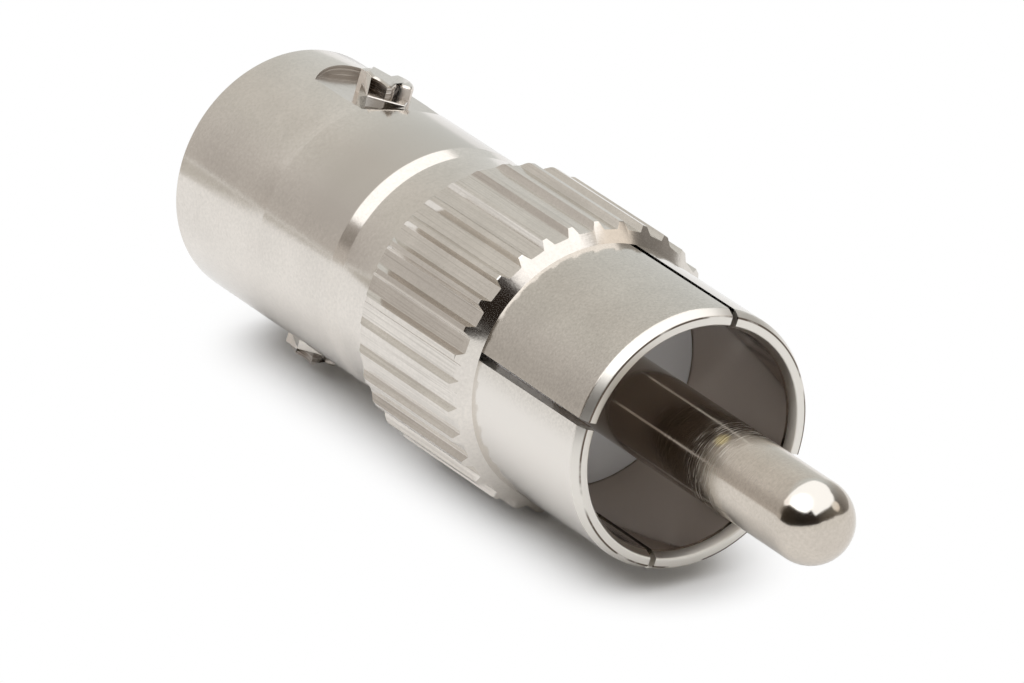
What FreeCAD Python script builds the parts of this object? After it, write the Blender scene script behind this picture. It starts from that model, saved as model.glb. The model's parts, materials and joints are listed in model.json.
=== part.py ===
"""BNC socket to RCA plug adapter, in millimetres.

The axis of the adapter is the X axis. The RCA plug points to +X and the BNC mouth to -X, and the
origin is the centre of the ground sleeve's open rim. The adapter lies on two neighbouring ridges of
its knurled collar, so +Z is up, away from the surface that it lies on.

Six pieces: the turned body with its two bayonet lugs, the slotted ground sleeve pressed into its
collar, the two insulators, the centre pin, and the socket contact on the pin's tail.
"""
import FreeCAD
import Part
import Sketcher
import os

# Driving dimensions

SIZES = [
    ("sleeve_out", 6.78, "ground sleeve in front of the collar"),
    ("sleeve_seat", 5.22, "ground sleeve inside the collar"),
    ("sleeve_radius", 4.955, "outside of the ground sleeve, and the collar bore that grips it"),
    ("sleeve_wall", 0.695, "wall of the ground sleeve"),
    ("rim_chamfer_length", 0.37, "outer chamfer at the sleeve's rim, along the axis"),
    ("rim_chamfer_drop", 0.175, "the same chamfer, across the axis"),
    ("rim_lead_length", 0.42, "inner lead-in at the sleeve's rim, along the axis"),
    ("rim_lead_rise", 0.18, "the same lead-in, across the axis"),
    ("sleeve_slots", 4, "number of slots in the ground sleeve"),
    ("slot_width", 0.33, "slot at its closed end"),
    ("slot_mouth_width", 0.26, "slot at the rim, where the fingers close in"),
    ("slot_under_collar", 1.3, "how far the slots run on inside the collar"),
    ("slot_lean", 20.6, "first slot, in degrees from the top towards +Y"),
    ("collar_length", 7.52, "knurled collar with both of its cones"),
    ("collar_radius", 5.6, "crest of the knurl"),
    ("knurl_depth", 0.25, "crest to valley floor"),
    ("knurl_teeth", 32, "ridges round the collar"),
    ("valley_floor", 0.58, "width of the flat floor between two ridges"),
    ("crest_width", 0.16, "width of the flat crest of a ridge"),
    ("front_cone_length", 0.56, "cone from the sleeve up to the knurl"),
    ("rear_cone_length", 1.0, "cone from the neck up to the knurl"),
    ("neck_length", 1.7, "plain neck behind the collar"),
    ("shoulder_length", 0.8, "gentle cone from the barrel down to the neck"),
    ("shoulder_drop", 0.08, "how much smaller the neck's radius is than the barrel's"),
    ("main_length", 4.67, "barrel between the shoulder and the lug section"),
    ("mouth_length", 5.74, "barrel section at the mouth, which carries the lugs"),
    ("mouth_taper_length", 1.2, "slight taper at the end of the mouth section"),
    ("mouth_taper_drop", 0.03, "how deep that taper goes"),
    ("bnc_radius", 4.075, "bore of the bayonet socket"),
    ("barrel_wall", 0.765, "wall of the bayonet barrel round that bore"),
    ("mouth_edge", 0.12, "broken outer edge of the mouth"),
    ("bnc_depth", 8.41, "depth of the bayonet socket"),
    ("bnc_lead_length", 0.5, "lead-in of the socket's mouth, along the axis"),
    ("bnc_lead_rise", 0.35, "the same lead-in, across the axis"),
    ("web_radius", 3.3, "hole in the web between the two ends"),
    ("lug_from_mouth", 4.61, "centre of the lugs from the mouth"),
    ("lug_rise", 0.66, "top of the lugs above the barrel"),
    ("lug_flat_depth", 0.37, "milled flat round each lug, below the top of the barrel"),
    ("lug_mill_radius", 2.42, "round edge of that flat"),
    ("lug_mill_offset", 0.45, "how far the flat's centre lies from the lug towards the mouth"),
    ("lug_length", 2.42, "land on top of a lug, along the axis"),
    ("lug_breadth", 1.6, "land on top of a lug, across the axis"),
    ("lug_scallop", 0.1, "hollow that the cutter leaves in the long side of a lug"),
    ("lug_step_drop", 0.2, "small step at a lug's first corner, below its top"),
    ("lug_foot_depth", 0.12, "low foot at a lug's long side, below the top of the barrel"),
    ("pin_radius", 1.5875, "centre pin"),
    ("pin_reach", 9.07, "tip of the pin in front of the sleeve's rim"),
    ("pin_neck_radius", 1.3, "pin inside the insulators"),
    ("pin_neck_seat", 1.5, "how far the neck goes into the inner insulator"),
    ("pin_tail_radius", 0.8, "tail of the pin"),
    ("pin_tail_grip", 1.5, "tail inside the socket contact"),
    ("disc_recess", 6.5, "face of the white disc behind the sleeve's rim"),
    ("disc_edge", 0.2, "chamfer round the face of the disc"),
    ("flange_thickness", 1.0, "flange of the inner insulator"),
    ("flange_clearance", 0.06, "between that flange and the sleeve"),
    ("nose_radius", 2.375, "insulating nose in the bayonet socket"),
    ("nose_recess", 3.31, "face of the nose behind the mouth"),
    ("nose_edge", 0.15, "chamfer round the nose"),
    ("contact_radius", 1.1, "outside of the socket contact"),
    ("contact_clearance", 0.05, "room round the contact's slotted part"),
    ("contact_recess", 0.2, "tip of the socket contact behind the face of the nose"),
    ("contact_length", 8.2, "socket contact"),
    ("contact_bore_radius", 0.69, "hole that takes the plug's pin"),
    ("contact_bore_depth", 5.0, "depth of that hole"),
    ("contact_lead", 0.15, "chamfer at its mouth"),
    ("contact_slots", 4, "slots in the socket contact"),
    ("contact_slot_width", 0.2, "width of those slots"),
    ("contact_slot_length", 3.4, "length of those slots"),
    ("tail_hole_spare", 0.1, "room past the end of the pin's tail"),
    ("cut_over", 0.4, "how far a cut starts outside the metal"),
]

# Stations along the axis, written with the driving dimensions

RIM = "0"
COLLAR_FACE = "-Sizes.sleeve_out"
KNURL_FRONT = "-Sizes.sleeve_out - Sizes.front_cone_length"
COLLAR_BACK = "-Sizes.sleeve_out - Sizes.collar_length"
KNURL_BACK = COLLAR_BACK + " + Sizes.rear_cone_length"
NECK_BACK = COLLAR_BACK + " - Sizes.neck_length"
SHOULDER = NECK_BACK + " - Sizes.shoulder_length"
MOUTH_STEP = SHOULDER + " - Sizes.main_length"
MOUTH_TAPER = MOUTH_STEP + " - Sizes.mouth_taper_length"
MOUTH = MOUTH_STEP + " - Sizes.mouth_length"
BNC_FLOOR = MOUTH + " + Sizes.bnc_depth"
SLEEVE_BACK = COLLAR_FACE + " - Sizes.sleeve_seat"
DISC_FACE = "-Sizes.disc_recess"
FLANGE_FACE = SLEEVE_BACK + " + Sizes.flange_thickness"
NOSE_FACE = MOUTH + " + Sizes.nose_recess"
CONTACT_TIP = NOSE_FACE + " + Sizes.contact_recess"
CONTACT_BACK = CONTACT_TIP + " + Sizes.contact_length"
LUG_CENTRE = MOUTH + " + Sizes.lug_from_mouth"
PIN_NECK_BACK = FLANGE_FACE + " - Sizes.pin_neck_seat"
PIN_TAIL_END = CONTACT_BACK + " - Sizes.pin_tail_grip"
PIN_DOME = "Sizes.pin_reach - Sizes.pin_radius"

# Radii that follow from the driving dimensions

BARREL = "(Sizes.bnc_radius + Sizes.barrel_wall)"
NECK = BARREL + " - Sizes.shoulder_drop"
LUG_TOP = BARREL + " + Sizes.lug_rise"
LUG_FLOOR = BARREL + " - Sizes.lug_flat_depth"
COLLAR = "Sizes.collar_radius"
SLEEVE = "Sizes.sleeve_radius"
SLEEVE_BORE = "Sizes.sleeve_radius - Sizes.sleeve_wall"
KNURL_ROOT = "(Sizes.collar_radius - Sizes.knurl_depth)"
CONTACT_ROOM = "Sizes.contact_radius + Sizes.contact_clearance"

# Turn of the whole body: it lies with a valley of the knurl straight down, one and a half ridges
# away from the lugs

BODY_TURN = "-1.5 * 360 / Sizes.knurl_teeth"

doc = FreeCAD.newDocument("BncToRcaAdapter")


def make_sheet():
    """Spreadsheet of the driving dimensions: value, alias and meaning in each row."""
    sheet = doc.addObject("Spreadsheet::Sheet", "Sizes")
    for row, (alias, value, meaning) in enumerate(SIZES, start=1):
        sheet.set(f"A{row}", alias)
        sheet.set(f"B{row}", str(value))
        sheet.set(f"C{row}", meaning)
        sheet.setAlias(f"B{row}", alias)
    doc.recompute()
    return sheet


def new_body(label, turn=None):
    """Empty body whose placement may be turned about the adapter's axis."""
    body = doc.addObject("PartDesign::Body", label)
    body.Label = label
    body.Placement = FreeCAD.Placement(FreeCAD.Vector(), FreeCAD.Rotation(FreeCAD.Vector(1, 0, 0), 1))
    body.setExpression("Placement.Rotation.Angle", turn or "0")
    return body


def origin_part(body, role):
    """Plane or axis of the body's own origin."""
    return next(part for part in body.Origin.OriginFeatures if part.Role == role)


def new_sketch(body, name, role, lift=None, turn=None):
    """Sketch on a plane of the body's origin, lifted along its normal and turned about it."""
    sketch = body.newObject("Sketcher::SketchObject", name)
    sketch.AttachmentSupport = [(origin_part(body, role), "")]
    sketch.MapMode = "FlatFace"
    if lift:
        sketch.setExpression("AttachmentOffset.Base.z", lift)
    if turn:
        sketch.setExpression("AttachmentOffset.Rotation.Angle", turn)
    return sketch


def hold_point(sketch, edge, end, across, up):
    """Tie one end of an edge to two formulas, measured from the sketch's origin."""
    for kind, formula in (("DistanceX", across), ("DistanceY", up)):
        place = Sketcher.Constraint(kind, -1, 1, edge, end, value_of(formula))
        index = sketch.addConstraint(place)
        sketch.setExpression(f"Constraints[{index}]", formula)


def value_of(formula):
    """Present value of a formula of the sheet."""
    return float(doc.Sizes.evalExpression(formula.replace("Sizes.", "")))


def corner(point):
    return FreeCAD.Vector(value_of(point[0]), value_of(point[1]), 0)


def closed_outline(sketch, points, bulges=None):
    """Closed outline through the points. A bulge, by the number of its first point, is the point
    half way along an arc that takes the place of that straight edge."""
    bulges = bulges or {}
    first = sketch.GeometryCount
    for number, start in enumerate(points):
        end = points[(number + 1) % len(points)]
        if number in bulges:
            arc = Part.Arc(corner(start), corner(bulges[number]), corner(end))
            sketch.addGeometry(arc, False)
        else:
            sketch.addGeometry(Part.LineSegment(corner(start), corner(end)), False)
    ends = []
    for number, start in enumerate(points):
        edge = first + number
        near_start = sketch.getPoint(edge, 1).distanceToPoint(corner(start)) < 1e-6
        ends.append((1, 2) if near_start else (2, 1))
    for number, start in enumerate(points):
        edge = first + number
        follower = first + (number + 1) % len(points)
        joint = Sketcher.Constraint("Coincident", edge, ends[number][1],
                                    follower, ends[(number + 1) % len(points)][0])
        sketch.addConstraint(joint)
    for number, start in enumerate(points):
        hold_point(sketch, first + number, ends[number][0], *start)
    for number, middle in bulges.items():
        on_arc = sketch.addGeometry(Part.Point(corner(middle)), True)
        hold_point(sketch, on_arc, 1, *middle)
        sketch.addConstraint(Sketcher.Constraint("PointOnObject", on_arc, 1, first + number))


def turn_profile(body, name, points, bulges=None):
    """Solid of revolution about the adapter's axis."""
    sketch = new_sketch(body, name + "Profile", "XZ_Plane")
    closed_outline(sketch, points, bulges)
    turned = body.newObject("PartDesign::Revolution", name)
    turned.Profile = sketch
    turned.ReferenceAxis = (origin_part(body, "X_Axis"), [""])
    turned.Angle = 360
    doc.recompute()
    return turned


def repeat_round(body, name, features, count):
    """Copies of features spread evenly round the adapter's axis."""
    pattern = body.newObject("PartDesign::PolarPattern", name)
    pattern.Originals = features
    pattern.Axis = (origin_part(body, "X_Axis"), [""])
    pattern.Angle = 360
    pattern.setExpression("Occurrences", count)
    body.Tip = pattern
    doc.recompute()
    return pattern


def cut_slots(body, name, width, mouth_width, tip, back, reach, count, towards):
    """Lengthwise slots from an open end. towards is +1 where that end points to +X."""
    outside = f"{tip} + {towards} * Sizes.cut_over"
    grow = f"({mouth_width} - {width}) / 2"
    sketch = new_sketch(body, name + "Outline", "XY_Plane")
    closed_outline(sketch, [
        (back, f"-{width} / 2"),
        (outside, f"-{width} / 2 - {grow}"),
        (outside, f"{width} / 2 + {grow}"),
        (back, f"{width} / 2"),
    ])
    slot = body.newObject("PartDesign::Pocket", name)
    slot.Profile = sketch
    slot.Type = 0
    slot.setExpression("Length", reach)
    slot.Reversed = True
    doc.recompute()
    return repeat_round(body, name + "Round", [slot], count)


def make_bayonet_body():
    """Barrel, lugs, neck and knurled collar, turned and milled from one bar."""
    body = new_body("bayonet_body", BODY_TURN)
    turn_profile(body, "Turned", [
        (MOUTH, "Sizes.bnc_radius + Sizes.bnc_lead_rise"),
        (MOUTH, BARREL + " - Sizes.mouth_edge"),
        (MOUTH + " + Sizes.mouth_edge", BARREL),
        (MOUTH_TAPER, BARREL),
        (MOUTH_STEP, BARREL + " - Sizes.mouth_taper_drop"),
        (MOUTH_STEP, BARREL),
        (SHOULDER, BARREL),
        (NECK_BACK, NECK),
        (COLLAR_BACK, NECK),
        (KNURL_BACK, COLLAR),
        (KNURL_FRONT, COLLAR),
        (COLLAR_FACE, SLEEVE),
        (SLEEVE_BACK, SLEEVE),
        (SLEEVE_BACK, "Sizes.web_radius"),
        (BNC_FLOOR, "Sizes.web_radius"),
        (BNC_FLOOR, "Sizes.bnc_radius"),
        (MOUTH + " + Sizes.bnc_lead_length", "Sizes.bnc_radius"),
    ])
    cut_knurl(body)
    mill_lugs(body)
    return body


def cut_knurl(body):
    """Straight knurl: flat-bottomed valleys with sloping flanks, between narrow flat crests."""
    pitch = "(2 * pi * Sizes.collar_radius / Sizes.knurl_teeth)"
    mouth_half = f"({pitch} - Sizes.crest_width) / 2"
    floor_half = "Sizes.valley_floor / 2"
    flare = f"({mouth_half} - {floor_half}) * Sizes.cut_over / Sizes.knurl_depth"
    top = COLLAR + " + Sizes.cut_over"
    sketch = new_sketch(body, "ValleySection", "YZ_Plane", COLLAR_FACE, "180 / Sizes.knurl_teeth")
    closed_outline(sketch, [
        (f"-{floor_half}", KNURL_ROOT),
        (floor_half, KNURL_ROOT),
        (f"{mouth_half} + {flare}", top),
        (f"-{mouth_half} - {flare}", top),
    ])
    valley = body.newObject("PartDesign::Pocket", "Valley")
    valley.Profile = sketch
    valley.Type = 0
    valley.setExpression("Length", "Sizes.collar_length")
    doc.recompute()
    repeat_round(body, "Knurl", [valley], "Sizes.knurl_teeth")


def mill_lugs(body):
    """Two bayonet lugs, mirror images of each other, each on a round milled flat. A lug is a slanting
    table with a hollow long side, a round lobe at its far side, a small step and a low foot."""
    flat_sketch = new_sketch(body, "LugFlatOutline", "XY_Plane", LUG_FLOOR)
    ring = flat_sketch.addGeometry(Part.Circle(FreeCAD.Vector(), FreeCAD.Vector(0, 0, 1), 2.0), False)
    hold_point(flat_sketch, ring, 3, LUG_CENTRE + " - Sizes.lug_mill_offset", "0")
    ring_size = flat_sketch.addConstraint(Sketcher.Constraint("Radius", ring, 2.0))
    flat_sketch.setExpression(f"Constraints[{ring_size}]", "Sizes.lug_mill_radius")
    flat = body.newObject("PartDesign::Pocket", "LugFlat")
    flat.Profile = flat_sketch
    flat.Type = 0
    flat.setExpression("Length", "Sizes.lug_flat_depth + Sizes.cut_over")
    flat.Reversed = True
    doc.recompute()

    table = pad_on_flat(body, "LugTable", [
        lug_point(-0.512, -0.0375),
        lug_point(-0.289, -0.425),
        lug_point(0.0165, -0.594),
        lug_point(0.488, -0.6125),
        lug_point(0.488, -0.475),
        lug_point(0.192, 0.106),
        lug_point(0.483, 0.025),
        lug_point(-0.149, 0.275),
        lug_point(-0.087, 0.05),
    ], LUG_TOP + " + Sizes.cut_over / 4", {
        2: lug_point(0.252, -0.603, "Sizes.lug_scallop"),
        6: lug_point(0.145, 0.3875),
    })
    step = pad_on_flat(body, "LugStep", [
        lug_point(-0.512, -0.0375),
        lug_point(-0.43, -0.425),
        lug_point(-0.289, -0.425),
        lug_point(-0.2, -0.1),
    ], LUG_TOP + " - Sizes.lug_step_drop")
    foot = pad_on_flat(body, "LugFoot", [
        lug_point(-0.165, -0.7),
        lug_point(0.455, -1.08),
        lug_point(0.537, -1.106),
        lug_point(0.785, -0.219),
        lug_point(0.1, -0.1),
    ], BARREL + " - Sizes.lug_foot_depth")

    both = body.newObject("PartDesign::Mirrored", "BothLugs")
    both.Originals = [flat, table, step, foot]
    both.MirrorPlane = (origin_part(body, "XY_Plane"), [""])
    body.Tip = both
    doc.recompute()

    trim_sketch = new_sketch(body, "LugTopProfile", "XZ_Plane")
    closed_outline(trim_sketch, [
        (f"{LUG_CENTRE} - Sizes.lug_length", LUG_TOP),
        (f"{LUG_CENTRE} + Sizes.lug_length", LUG_TOP),
        (f"{LUG_CENTRE} + Sizes.lug_length", LUG_TOP + " + Sizes.cut_over"),
        (f"{LUG_CENTRE} - Sizes.lug_length", LUG_TOP + " + Sizes.cut_over"),
    ])
    trim = body.newObject("PartDesign::Groove", "LugTops")
    trim.Profile = trim_sketch
    trim.ReferenceAxis = (origin_part(body, "X_Axis"), [""])
    trim.Angle = 360
    doc.recompute()


def lug_point(along, across, shift="0"):
    """Point near a lug's centre, in shares of the lug's length and breadth."""
    return f"{LUG_CENTRE} + Sizes.lug_length * {along}", f"Sizes.lug_breadth * {across} + {shift}"


def pad_on_flat(body, name, points, top, bulges=None):
    """Outline raised to a height above the axis, rooted a little below a lug's milled flat."""
    root = f"({LUG_FLOOR} - Sizes.cut_over / 4)"
    sketch = new_sketch(body, name + "Outline", "XY_Plane", root)
    closed_outline(sketch, points, bulges)
    pad = body.newObject("PartDesign::Pad", name)
    pad.Profile = sketch
    pad.setExpression("Length", f"{top} - {root}")
    doc.recompute()
    return pad


def make_ground_sleeve():
    """Thin tube with four spring fingers, chamfered inside and out at its rim."""
    turn = "-Sizes.slot_lean"
    body = new_body("rca_ground_sleeve", turn)
    turn_profile(body, "Tube", [
        (SLEEVE_BACK, SLEEVE_BORE),
        (SLEEVE_BACK, SLEEVE),
        (f"{RIM} - Sizes.rim_chamfer_length", SLEEVE),
        (RIM, SLEEVE + " - Sizes.rim_chamfer_drop"),
        (RIM, SLEEVE_BORE + " + Sizes.rim_lead_rise"),
        (f"{RIM} - Sizes.rim_lead_length", SLEEVE_BORE),
    ])
    cut_slots(body, "Slot", "Sizes.slot_width", "Sizes.slot_mouth_width", RIM,
              f"{COLLAR_FACE} - Sizes.slot_under_collar",
              "Sizes.sleeve_radius + Sizes.cut_over", "Sizes.sleeve_slots", 1)
    return body


def make_rca_insulator():
    """White disc in the bottom of the sleeve, held between the pin's shoulder and the flange."""
    body = new_body("rca_insulator")
    turn_profile(body, "Disc", [
        (FLANGE_FACE, "Sizes.pin_neck_radius"),
        (FLANGE_FACE, SLEEVE_BORE),
        (DISC_FACE + " - Sizes.disc_edge", SLEEVE_BORE),
        (DISC_FACE, SLEEVE_BORE + " - Sizes.disc_edge"),
        (DISC_FACE, "Sizes.pin_neck_radius"),
    ])
    return body


def make_centre_pin():
    """Pin with a round nose. It is stepped down twice behind the disc: a neck, then a tail."""
    body = new_body("rca_centre_pin")
    nose_middle = ("Sizes.pin_reach - Sizes.pin_radius * (1 - cos(45))", "Sizes.pin_radius * sin(45)")
    turn_profile(body, "Pin", [
        (PIN_TAIL_END, "0"),
        (PIN_TAIL_END, "Sizes.pin_tail_radius"),
        (PIN_NECK_BACK, "Sizes.pin_tail_radius"),
        (PIN_NECK_BACK, "Sizes.pin_neck_radius"),
        (DISC_FACE, "Sizes.pin_neck_radius"),
        (DISC_FACE, "Sizes.pin_radius"),
        (PIN_DOME, "Sizes.pin_radius"),
        ("Sizes.pin_reach", "0"),
    ], {6: nose_middle})
    return body


def make_bnc_insulator():
    """Stepped bush: nose in the bayonet socket, barrel through the web, flange in the sleeve. It
    grips the socket contact behind its slots, and leaves room for its fingers to spread."""
    body = new_body("bnc_insulator")
    room_end = f"{CONTACT_TIP} + Sizes.contact_slot_length"
    turn_profile(body, "Bush", [
        (NOSE_FACE, CONTACT_ROOM),
        (NOSE_FACE, "Sizes.nose_radius - Sizes.nose_edge"),
        (NOSE_FACE + " + Sizes.nose_edge", "Sizes.nose_radius"),
        (BNC_FLOOR, "Sizes.nose_radius"),
        (BNC_FLOOR, "Sizes.web_radius"),
        (SLEEVE_BACK, "Sizes.web_radius"),
        (SLEEVE_BACK, SLEEVE_BORE + " - Sizes.flange_clearance"),
        (FLANGE_FACE, SLEEVE_BORE + " - Sizes.flange_clearance"),
        (FLANGE_FACE, "Sizes.pin_neck_radius"),
        (PIN_NECK_BACK, "Sizes.pin_neck_radius"),
        (PIN_NECK_BACK, "Sizes.pin_tail_radius"),
        (CONTACT_BACK, "Sizes.pin_tail_radius"),
        (CONTACT_BACK, "Sizes.contact_radius"),
        (room_end, "Sizes.contact_radius"),
        (room_end, CONTACT_ROOM),
    ])
    return body


def make_socket_contact():
    """Slotted spring contact, pressed on the pin's tail."""
    body = new_body("bnc_socket_contact")
    bore_end = CONTACT_TIP + " + Sizes.contact_bore_depth"
    hole_end = PIN_TAIL_END + " - Sizes.tail_hole_spare"
    turn_profile(body, "Contact", [
        (CONTACT_TIP, "Sizes.contact_bore_radius + Sizes.contact_lead"),
        (CONTACT_TIP, "Sizes.contact_radius"),
        (CONTACT_BACK, "Sizes.contact_radius"),
        (CONTACT_BACK, "Sizes.pin_tail_radius"),
        (hole_end, "Sizes.pin_tail_radius"),
        (hole_end, "0"),
        (bore_end, "0"),
        (bore_end, "Sizes.contact_bore_radius"),
        (CONTACT_TIP + " + Sizes.contact_lead", "Sizes.contact_bore_radius"),
    ])
    cut_slots(body, "ContactSlot", "Sizes.contact_slot_width", "Sizes.contact_slot_width", CONTACT_TIP,
              f"{CONTACT_TIP} + Sizes.contact_slot_length",
              "Sizes.contact_radius + Sizes.cut_over", "Sizes.contact_slots", -1)
    return body


def check_and_write(bodies):
    """Stop on any failed object or bad shape, then write one file for each piece."""
    doc.recompute()
    for item in doc.Objects:
        if "Invalid" in item.State or "Error" in item.State:
            raise RuntimeError(f"{item.Label} failed: {item.State}")
    os.makedirs("parts", exist_ok=True)
    for body in bodies:
        shape = body.Shape
        if shape.isNull() or not shape.isValid() or len(shape.Solids) != 1:
            raise RuntimeError(f"{body.Label} has no single valid solid")
        box = shape.BoundBox
        print(f"{body.Label:20s} {shape.Volume:8.2f} mm3  x {box.XMin:7.2f} {box.XMax:6.2f}"
              f"  y {box.YMin:6.2f} {box.YMax:5.2f}  z {box.ZMin:6.2f} {box.ZMax:5.2f}")
    for body in bodies:
        body.Shape.exportStep(f"parts/{body.Label}.step")


make_sheet()
PIECES = [
    make_bayonet_body(),
    make_ground_sleeve(),
    make_rca_insulator(),
    make_centre_pin(),
    make_bnc_insulator(),
    make_socket_contact(),
]
check_and_write(PIECES)
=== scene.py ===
# %% [markdown]
# # A coaxial adapter: bayonet socket to phono plug
#
# The real object is a small nickel-plated adapter, 36 mm long, that lies on white paper. We build its
# six pieces as finely as a close-up needs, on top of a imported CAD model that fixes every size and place.
#
# Two things make polished metal look real: clean rounded edges, and something to mirror. So the
# lesson has three parts: turned and milled shapes, plated finishes, and a small photo studio.
#
# First we load the CAD model. It stays where it is, and every size below is in its frame.

# %% Load the CAD model
import json
import math
from collections import namedtuple

import bmesh
import bpy
from mathutils import Matrix, Vector

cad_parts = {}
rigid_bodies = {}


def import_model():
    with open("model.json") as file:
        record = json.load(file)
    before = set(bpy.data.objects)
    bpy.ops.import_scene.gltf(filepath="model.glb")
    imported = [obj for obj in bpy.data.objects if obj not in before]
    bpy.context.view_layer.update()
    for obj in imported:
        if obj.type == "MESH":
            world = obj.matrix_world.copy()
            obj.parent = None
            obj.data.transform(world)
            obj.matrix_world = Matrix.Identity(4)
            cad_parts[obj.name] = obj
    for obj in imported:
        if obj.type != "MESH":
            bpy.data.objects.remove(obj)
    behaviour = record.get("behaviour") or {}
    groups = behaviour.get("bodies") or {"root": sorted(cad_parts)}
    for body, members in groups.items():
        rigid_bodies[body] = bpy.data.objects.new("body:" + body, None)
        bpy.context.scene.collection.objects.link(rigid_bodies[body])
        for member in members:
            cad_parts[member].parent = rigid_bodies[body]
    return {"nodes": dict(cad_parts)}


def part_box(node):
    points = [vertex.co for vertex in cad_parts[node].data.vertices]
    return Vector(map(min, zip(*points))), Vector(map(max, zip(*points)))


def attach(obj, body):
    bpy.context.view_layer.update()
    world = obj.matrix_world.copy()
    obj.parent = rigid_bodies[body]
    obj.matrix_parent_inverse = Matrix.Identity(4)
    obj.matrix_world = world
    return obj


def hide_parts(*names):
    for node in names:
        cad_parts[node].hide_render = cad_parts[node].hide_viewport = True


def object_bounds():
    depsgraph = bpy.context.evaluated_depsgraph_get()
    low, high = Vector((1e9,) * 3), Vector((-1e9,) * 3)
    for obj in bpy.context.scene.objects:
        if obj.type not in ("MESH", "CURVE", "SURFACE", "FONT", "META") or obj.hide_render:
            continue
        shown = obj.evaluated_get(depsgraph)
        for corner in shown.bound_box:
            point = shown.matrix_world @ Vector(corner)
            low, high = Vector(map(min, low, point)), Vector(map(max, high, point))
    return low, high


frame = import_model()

CAD_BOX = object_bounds()
print("CAD nodes:", sorted(frame["nodes"]))
print("CAD box in mm:", [[round(v * 1000, 3) for v in corner] for corner in CAD_BOX])

# %% Units and view
MM = 0.001
scene = bpy.context.scene
scene.view_settings.view_transform = "Standard"

# The adapter's axis is +X. Angles round it are counted in degrees from +Y towards +Z.
LUG_ANGLE = 73.125      # first bayonet lug; the second is opposite
SLOT_ANGLE = 69.4       # first slot of the ground sleeve


def round_the_axis(degrees):
    """Turn that takes +Z to an angle round the adapter's axis."""
    return Matrix.Rotation(math.radians(degrees - 90), 4, "X")


print("the first lug leans", 90 - LUG_ANGLE, "degrees from straight up")

# %% [markdown]
# ## Sizes from the CAD model
#
# Each node of this adapter is round, so three of its sizes matter most: where it begins and ends along
# the axis, and its largest radius. We read them from the nodes, and then the fine pieces can't drift
# away from the CAD. Bores and steps, which no outer size shows, get names of their own.

# %% Ends and radii of the CAD nodes
def ends_and_radius(node):
    """Lowest and highest X of a CAD node and its largest radius round the axis, in mm."""
    low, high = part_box(node)
    radius = max(math.hypot(v.co.y, v.co.z) for v in frame["nodes"][node].data.vertices)
    sizes = round(low.x / MM, 2), round(high.x / MM, 2), round(radius / MM, 4)
    print(f"{node}: from {sizes[0]} to {sizes[1]}, radius {sizes[2]}")
    return sizes


MOUTH, COLLAR_FACE, KNURL_RADIUS = ends_and_radius("bayonet_body")
SLEEVE_BACK, RIM, SLEEVE_RADIUS = ends_and_radius("rca_ground_sleeve")
DISC_BACK, DISC_FACE, SLEEVE_BORE = ends_and_radius("rca_insulator")
PIN_TAIL, PIN_TIP, PIN_RADIUS = ends_and_radius("rca_centre_pin")
NOSE_FACE, NOSE_BACK, NOSE_FLANGE = ends_and_radius("bnc_insulator")
CONTACT_MOUTH, CONTACT_BACK, CONTACT_RADIUS = ends_and_radius("bnc_socket_contact")

# %% Bores and steps
BARREL_RADIUS = 4.84
BARREL_END = -16.80
NECK_RADIUS = 4.76
NECK = (-16.11, -14.30)         # from the barrel's shoulder to the collar's rear cone
COLLAR = (-13.30, -7.34)        # stretch at full radius, between its two cones
SOCKET_BORE = 4.075
WEB_FACE = -18.80               # the web closes the socket, and holds the nose in its hole
WEB_BORE = 3.30
STEM_RADIUS = 1.3               # the pin inside the disc, and further back its tail
STEM_END = -12.5
TAIL_RADIUS = 0.8
GRIP_END = -20.3                # from here to its mouth the socket contact is slotted
print("the web is", round(SLEEVE_BACK - WEB_FACE, 2), "mm thick")

# %% [markdown]
# ## Turning
#
# Most of the adapter was made on a lathe: a profile swept round the axis. In Blender that is one flat
# face, whose corners are softened with a vertex bevel, and whose rim is then spun through 360 degrees.
# The bevel comes first, because rounding the corners of a drawing is easier than rounding the rings of
# a solid. Even a sharp metal edge has a small radius, and that radius is what catches the light.

# %% Turned shapes
KNURL_RIDGES = 32
TURN_STEPS = 6 * KNURL_RIDGES   # facets of a turned surface
CORNER_PARTS = 4                # facets of a softened corner
NOSE_PARTS = 24                 # facets of a corner that is softened into half a ball
MERGE_WITHIN = 1e-7             # in metres


def face_outward(bm):
    """Turns the normals of a closed mesh outward."""
    bmesh.ops.recalc_face_normals(bm, faces=bm.faces[:])


def turned(profile, steps=TURN_STEPS, start=LUG_ANGLE - 180 / TURN_STEPS):
    """Mesh of a closed profile spun round +X. Each corner is (x, radius, softening), all in mm."""
    bm = bmesh.new()
    corners = [bm.verts.new((x * MM, 0, r * MM)) for x, r, soft in profile]
    bm.faces.new(corners)
    for amount in sorted({soft for x, r, soft in profile if soft}):
        same = [v for v, (x, r, soft) in zip(corners, profile) if soft == amount and v.is_valid]
        parts = NOSE_PARTS if amount > 1 else CORNER_PARTS
        bmesh.ops.bevel(bm, geom=same, offset=amount * MM, affect="VERTICES", segments=parts,
                        profile=0.5, material=-1, clamp_overlap=False)
    bmesh.ops.delete(bm, geom=bm.faces[:], context="FACES_ONLY")
    bmesh.ops.remove_doubles(bm, verts=bm.verts[:], dist=MERGE_WITHIN)
    bmesh.ops.rotate(bm, verts=bm.verts[:], cent=(0, 0, 0), matrix=round_the_axis(start))
    bmesh.ops.spin(bm, geom=bm.verts[:] + bm.edges[:], cent=(0, 0, 0), axis=(1, 0, 0),
                   angle=math.tau, steps=steps, use_merge=True)
    bmesh.ops.remove_doubles(bm, verts=bm.verts[:], dist=MERGE_WITHIN)
    lone = [e for e in bm.edges if not e.link_faces]
    bmesh.ops.delete(bm, geom=lone, context="EDGES")
    face_outward(bm)
    return bm


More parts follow.
